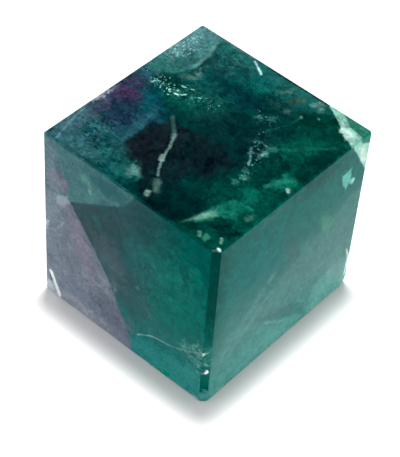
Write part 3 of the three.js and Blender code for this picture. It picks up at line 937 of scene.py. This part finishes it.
# %% [markdown]
# ## From washes to see-through stone
#
# The washes say what colour each place has to the eye. The shader wants something else: a base
# colour, and how much light goes through. Three things add up in what the eye sees: the sheen of the
# polish, the light that comes back out of the depth of the stone, and the light that the surface
# layer scatters. So the sheen is taken off, and what is left is divided by what the stone gives.
# Dark places stay almost fully clear. Pale ones scatter more, as a milky veil does. The amounts were
# found by trial under this tent, so in another light the stone comes out lighter or darker.

# %% How clear each place is
LEFT_CLEAR = 0.65                            # the share of light that the left side lets in
TOP_CLEARER = 0.29
RIGHT_DULLER = 0.2
WORN_DULLER = 0.4
# the near flat lets little light through, so its painted shade shows as the base colour
NEAR_DULLER = 0.55
EYE = (0.2, 0.55, 0.25)                      # how much red, green and blue count as brightness
PALE_FADE = (0.04, 0.5, 1.0, 0.15)           # two brightnesses, and how much clearness each keeps

bright = stone.part(seen, EYE)
most = stone.sums("MULTIPLY_ADD", is_top, TOP_CLEARER, LEFT_CLEAR)
most = stone.sums("MULTIPLY_ADD", is_right, -RIGHT_DULLER, most)
most = stone.sums("MULTIPLY_ADD", worn, -WORN_DULLER, most)
most = stone.sums("MULTIPLY_ADD", is_near, -NEAR_DULLER, most)
clear = stone.sums("MULTIPLY", most, stone.between(bright, *PALE_FADE, False))
print("the clearest place lets in", round(LEFT_CLEAR + TOP_CLEARER, 2), "of the light")

# %% How much sheen each place has
SHEEN_DULL = (0.031, 0.071, 0.019)           # on the left, the right and the near flat
SHEEN_CLEAR = (0.085, 0.150, 0.0455)
TOP_DULL = (0.005, 0.005, 0.005, 1)
TOP_CLEAR = (0.0215, 0.0185, 0.0195, 1)      # a little more red comes off the clear top
LEFT_LIFT = (1, 16, 0.72, 1.25)              # two heights, and how much sheen there is at each
RIGHT_LIFT = (0, 49.5, 0.69, 1.32)


def grey(value):
    return (value, value, value, 1)


height = stone.part(place, Z_WAY)
left_lift = stone.between(height, *LEFT_LIFT)
right_lift = stone.between(height, *RIGHT_LIFT, False)
lift = stone.sums("MULTIPLY_ADD", stone.sums("SUBTRACT", right_lift, left_lift), is_right, left_lift)


def sheen(left_share, right_share, near_share, top_colour):
    """What the polish reflects on each face."""
    flat = stone.vector("SCALE", stone.over(grey(left_share), grey(right_share), is_right))
    stone.feed(flat.node.inputs["Scale"], lift)
    return stone.over(stone.over(flat, grey(near_share), is_near), top_colour, is_top)


dull_veil = sheen(*SHEEN_DULL, TOP_DULL)
clear_veil = sheen(*SHEEN_CLEAR, TOP_CLEAR)
print("before the lift, the clear right side has the most sheen:", SHEEN_CLEAR[1])

# %% [markdown]
# ## The base colour
#
# The sheen can't be more than the light that a place should give, or its base colour would fall below
# zero. Red is the first to run out in a green stone. So a place gets only as clear as its red allows,
# and then the base colour is worked out from what is left.

# %% Work out the base colour and the transmission
GLOW = (0.98, 1.86)                          # of the sides and the top, for a pure white base
DEPTH = ((0.02, 0.13, 0.09, 1), (0.003, 0.035, 0.02, 1))     # what clear sides and a clear top give
FOOT_SHADE = (13, 0.64)                      # height of the darker foot, and the light left there
LEAST_CLEAR = 0.06
PALEST_BASE = 0.95

red = stone.sums("MULTIPLY_ADD", stone.part(seen, X_WAY), 1 - PRINT_BLACK, PRINT_BLACK)
spare = stone.sums("SUBTRACT", red, stone.part(dull_veil, X_WAY))
span = stone.sums("SUBTRACT", stone.part(clear_veil, X_WAY), stone.part(dull_veil, X_WAY))
clear = stone.sums("MINIMUM", clear, stone.sums("DIVIDE", spare, span))
clear = stone.sums("MAXIMUM", clear, LEAST_CLEAR)
veil = stone.over(dull_veil, clear_veil, clear)
# painted light: the glow falls towards the foot, so the base colour there is made paler against the shade
foot = stone.between(height, 0, FOOT_SHADE[0], FOOT_SHADE[1] * GLOW[0], GLOW[0], False)
side_glow = stone.vector("SCALE", (1, 1, 1))
stone.feed(side_glow.node.inputs["Scale"], foot)
gain = stone.over(side_glow, grey(GLOW[1]), is_top)
gives = stone.over(gain, stone.over(*DEPTH, is_top), clear)
wanted = stone.vector("MULTIPLY_ADD", seen, (1 - PRINT_BLACK,) * 3, (PRINT_BLACK,) * 3)
wanted = stone.vector("MAXIMUM", stone.vector("SUBTRACT", wanted, veil))
base = stone.vector("MINIMUM", stone.vector("DIVIDE", wanted, gives), (PALEST_BASE,) * 3)

stone.feed(stone.shader.inputs["Base Color"], base)
stone.feed(stone.shader.inputs["Transmission Weight"], clear)
print("the base colour is at most", PALEST_BASE, "and the transmission at least", LEAST_CLEAR)

# %% [markdown]
# ## Polish and depth
#
# Hands leave a faint smudge on the polish, worn edges are rougher, and under a lens the surface has
# tiny pits. The depth itself is an absorption that fills the stone: light loses its red first, so a
# long way through comes out green. A dark tint on the surface could fake that, but it would be the
# same on a thin corner as through the middle.

# %% Polish, wear and depth
SMUDGE_ROUGH = (0.4, 0.6, 0.09, 0.15)        # two levels of the mottle, and the roughness at each
WORN_ROUGHER = 0.3
PIT_DEPTH = 0.03                             # millimetres
PIT_STRENGTH = 0.25
FLUORITE_IOR = 1.434
MIRROR_LEVEL = 0.1                           # 0.5 would be the full mirror of the polish
ABSORB_TINT = (0.0, 0.55, 0.45, 1)
ABSORB_DENSITY = 58                          # per metre

smudge = stone.between(mottle, *SMUDGE_ROUGH, False)
rough = stone.sums("MULTIPLY_ADD", worn, WORN_ROUGHER, smudge)
stone.feed(stone.shader.inputs["Roughness"], rough)
pits = stone.step("Bump", {"Height": grit, "Strength": PIT_STRENGTH, "Distance": PIT_DEPTH * MM})
stone.feed(stone.shader.inputs["Normal"], pits)
stone.shader.inputs["IOR"].default_value = FLUORITE_IOR
stone.shader.inputs["Specular IOR Level"].default_value = MIRROR_LEVEL
absorption = stone.tree.nodes.new("ShaderNodeVolumeAbsorption")
absorption.inputs["Color"].default_value = ABSORB_TINT
absorption.inputs["Density"].default_value = ABSORB_DENSITY
stone.tree.links.new(absorption.outputs[0], stone.output.inputs["Volume"])
cube.data.materials[0] = stone.material
print("the stone's finish has", len(stone.tree.nodes), "nodes")

# %% [markdown]
# ## What lies inside the stone
#
# Some marks are not colour. They are thin white sheets and flakes that sit under the polish and shift
# against the faces as the cube is turned. A wash can't do that, so two of them are real meshes, set a
# little way down: the split at the corner and the flakes. Each is closed and thin, and each gets a
# cloudy white finish of its own. The stone's green and its polish lie over them, as they do over the
# real ones.

# %% A helper that sets a small solid in the stone
def set_in_stone(name, points, faces, finish, smooth=True):
    """Makes one closed mesh from millimetre points and lays it in the stone."""
    mesh = bpy.data.meshes.new(name)
    mesh.from_pydata([Vector(point) * MM for point in points], [], faces)
    shell = bmesh.new()
    shell.from_mesh(mesh)
    bmesh.ops.recalc_face_normals(shell, faces=shell.faces)
    shell.to_mesh(mesh)
    shell.free()
    mesh.polygons.foreach_set("use_smooth", [smooth] * len(mesh.polygons))
    mesh.materials.append(finish.material)
    piece = bpy.data.objects.new(name, mesh)
    bpy.context.scene.collection.objects.link(piece)
    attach(piece, "root")
    print(name, "has", len(mesh.vertices), "points")
    return piece


# %% The cloudy white finishes of the small solids
BLOTCH_EDGE = (0.42, 0.58)   # the levels of the noise between which dull turns to pale
DULL_ROUGHER = 0.15
CLOUDY_BUMP = 0.4
CLOUDY_BUMP_DEPTH = 0.05     # millimetres


def cloudy(name, pale, dull, rough, scale):
    """A milky finish that drifts between two tints, with a fine bump."""
    finish = Finish(name)
    inner_spot = finish.step("TexCoord", {}, out="Object")
    blotch = finish.between(finish.grain(inner_spot, scale, 5.0, 0.7), *BLOTCH_EDGE)
    finish.feed(finish.shader.inputs["Base Color"], finish.over(tint(*dull), tint(*pale), blotch))
    gloss = finish.between(blotch, 0.0, 1.0, rough + DULL_ROUGHER, rough, False)
    finish.feed(finish.shader.inputs["Roughness"], gloss)
    bump_feeds = {"Height": blotch, "Strength": CLOUDY_BUMP, "Distance": CLOUDY_BUMP_DEPTH * MM}
    finish.feed(finish.shader.inputs["Normal"], finish.step("Bump", bump_feeds))
    return finish


split_finish = cloudy("split_sheet_white", (252, 255, 253), (196, 228, 214), 0.35, 0.8)
flake_finish = cloudy("flake_white", (250, 255, 254), (200, 232, 226), 0.25, 2.2)
print("the small solids have", len(split_finish.tree.nodes), "nodes in each finish")

# %% [markdown]
# ## The split across the far right corner
#
# Fluorite splits along flat planes that cut its corners off, and one such split runs under the far
# right corner. It doesn't come away: it is a thin sheet of air, seen almost edge on, which flashes
# white. It meets the top along a line, runs down to the right and back faces, and is stepped and
# slightly bent, as a split in a real crystal is. The sheet is a triangular grid with two sides.

# %% Build the split
SPLIT_LEFT = Vector((13.2, 24.9, 48.9))
SPLIT_NEAR = Vector((24.1, 18.6, 48.7))
SPLIT_FOOT = Vector((24.1, 24.9, 38.4))
SPLIT_ROWS = 26
SPLIT_THICK = 0.12           # millimetres, as the next two are
SPLIT_BEND = 0.5
SPLIT_LEDGE = 0.12           # the height of one step in the split
BENDS_PER_MM = 0.28
LEDGES_PER_MM = 0.5
LEDGES_UP = 3
SPLIT_RIM = 0.25             # the part of the sheet in which the bend dies out towards the rim
BEND_AT_TOP = 0.2            # the part of the bend that is left along the top
BEND_GAIN = 6

split_way = (SPLIT_NEAR - SPLIT_LEFT).cross(SPLIT_FOOT - SPLIT_LEFT).normalized()
if split_way.z < 0:
    split_way = -split_way


def split_point(row, step):
    """A place on the bent sheet. Rows run down it, and steps run along a row."""
    down = row / SPLIT_ROWS
    along = step / max(1, SPLIT_ROWS - row)
    point = SPLIT_LEFT.lerp(SPLIT_NEAR, along).lerp(SPLIT_FOOT, down)
    inward = min(along, 1 - along, 1 - down, SPLIT_RIM) / SPLIT_RIM * min(1, down * BEND_GAIN + BEND_AT_TOP)
    bend = noise.noise(point * BENDS_PER_MM) * SPLIT_BEND
    bend += round(noise.noise(point * LEDGES_PER_MM) * LEDGES_UP) * SPLIT_LEDGE
    return point - split_way * bend * inward


split_points = []
split_index = {}
for side, thick in ((0, SPLIT_THICK / 2), (1, -SPLIT_THICK / 2)):
    for row in range(SPLIT_ROWS):
        for step in range(SPLIT_ROWS - row + 1):
            split_index[side, row, step] = len(split_points)
            split_points.append(split_point(row, step) + split_way * thick)
    split_index[side, SPLIT_ROWS, 0] = len(split_points)
    split_points.append(split_point(SPLIT_ROWS, 0) + split_way * thick)

split_faces = []
for side in (0, 1):
    for row in range(SPLIT_ROWS):
        for step in range(SPLIT_ROWS - row):
            here = split_index[side, row, step]
            beside = split_index[side, row, step + 1]
            below = split_index[side, row + 1, step]
            split_faces.append((here, beside, below))
            if step + 1 < SPLIT_ROWS - row:
                split_faces.append((beside, split_index[side, row + 1, step + 1], below))
rim = [(0, step) for step in range(SPLIT_ROWS + 1)]
rim += [(row, SPLIT_ROWS - row) for row in range(1, SPLIT_ROWS + 1)]
rim += [(row, 0) for row in range(SPLIT_ROWS - 1, 0, -1)]
for here, after in zip(rim, rim[1:] + rim[:1]):
    around = ((0, *here), (0, *after), (1, *after), (1, *here))
    split_faces.append(tuple(split_index[key] for key in around))
set_in_stone("corner_split", split_points, split_faces, split_finish)

# %% [markdown]
# ## Sparkles
#
# Tiny flat flakes catch the light in drifts: in the frosty corner, in a patch beside the purple, and
# in a few small groups towards the middle and the back. Each is a thin many-sided plate, tipped at
# random. Scattering them with instances would be easy, but instances don't leave Blender, so one mesh
# holds them all.

# %% Shape one flake
FLAKE_TIP = 0.7              # radians, the most that a flake tips about X or Y
FLAKE_TURN = 6.28
FLAKE_LONG = (0.9, 2.2)      # half its length and half its width, as shares of its size
FLAKE_WIDE = (0.35, 0.8)
FLAKE_HALF_THICK = 0.02      # millimetres
CORNER_JITTER = 0.25

rng = random.Random(12)


def flake_mesh(centre, size, points, faces):
    """Adds one thin plate with five to seven corners to a mesh in the making."""
    corners = rng.randint(5, 7)
    tip = Matrix.Rotation(rng.uniform(-FLAKE_TIP, FLAKE_TIP), 3, "X")
    tip = tip @ Matrix.Rotation(rng.uniform(-FLAKE_TIP, FLAKE_TIP), 3, "Y")
    tip = tip @ Matrix.Rotation(rng.uniform(0, FLAKE_TURN), 3, "Z")
    long = size * rng.uniform(*FLAKE_LONG)
    first = len(points)
    for rise in (-FLAKE_HALF_THICK, FLAKE_HALF_THICK):
        for corner in range(corners):
            angle = 2 * math.pi * (corner + rng.uniform(-CORNER_JITTER, CORNER_JITTER)) / corners
            wide = size * rng.uniform(*FLAKE_WIDE)
            flat = Vector((long * math.cos(angle), wide * math.sin(angle), rise))
            points.append(centre + tip @ flat)
    faces.append(tuple(first + corner for corner in range(corners)))
    faces.append(tuple(first + corners + corner for corner in range(corners)))
    for corner in range(corners):
        after = (corner + 1) % corners
        faces.append((first + corner, first + after, first + corners + after, first + corners + corner))


print("a flake is", 2 * FLAKE_HALF_THICK, "mm thick")

# %% Scatter the flakes
DRIFTS = [  # x, y, half spread along, half spread across, lean, how many, size
    (-22.2, 15.5, 3.0, 1.3, 80, 70, 0.16),
    (-23.0, 5.4, 1.6, 0.8, 60, 30, 0.16),
    (-18.6, 3.4, 1.3, 0.5, -50, 26, 0.24),
    (-17.2, 4.4, 0.9, 0.7, 0, 14, 0.2),
    (-14.0, 4.6, 1.4, 0.35, 20, 22, 0.26),
    (-12.6, 3.9, 1.0, 0.3, -40, 22, 0.3),
    (-12.3, 6.8, 0.8, 0.4, -60, 16, 0.24),
    (-13.6, 7.4, 1.2, 0.7, 0, 16, 0.16),
    (-9.6, 5.4, 1.3, 0.6, 15, 22, 0.2),
    (-8.0, 5.2, 0.9, 0.5, 40, 18, 0.22),
    (-4.6, 6.9, 0.6, 0.4, 0, 8, 0.2),
    (-4.0, 18.6, 2.2, 1.0, -20, 14, 0.14),
]
TOP_FALL = 0.79              # millimetres that the top drops from the left edge to the right one
EDGE_ROOM = 0.8              # millimetres kept free along the edges
FLAKE_DEEP = (0.35, 1.4)
FLAKE_SIZES = (0.5, 1.3)

flake_points, flake_faces = [], []
for x, y, spread, narrow, lean, count, size in DRIFTS:
    turn_way = Matrix.Rotation(math.radians(lean), 2)
    for _ in range(count):
        spot_at = Vector((x, y)) + turn_way @ Vector((rng.gauss(0, spread / 2), rng.gauss(0, narrow / 2)))
        spot_at.x = max(-HALF_X + EDGE_ROOM, min(HALF_X - EDGE_ROOM, spot_at.x))
        spot_at.y = max(-HALF_Y + EDGE_ROOM, min(HALF_Y - EDGE_ROOM, spot_at.y))
        top_there = TOP_Z - (spot_at.x + HALF_X) * TOP_FALL / (2 * HALF_X)
        centre = Vector((spot_at.x, spot_at.y, top_there - rng.uniform(*FLAKE_DEEP)))
        flake_mesh(centre, size * rng.uniform(*FLAKE_SIZES), flake_points, flake_faces)
set_in_stone("sparkle_flakes", flake_points, flake_faces, flake_finish, smooth=False)
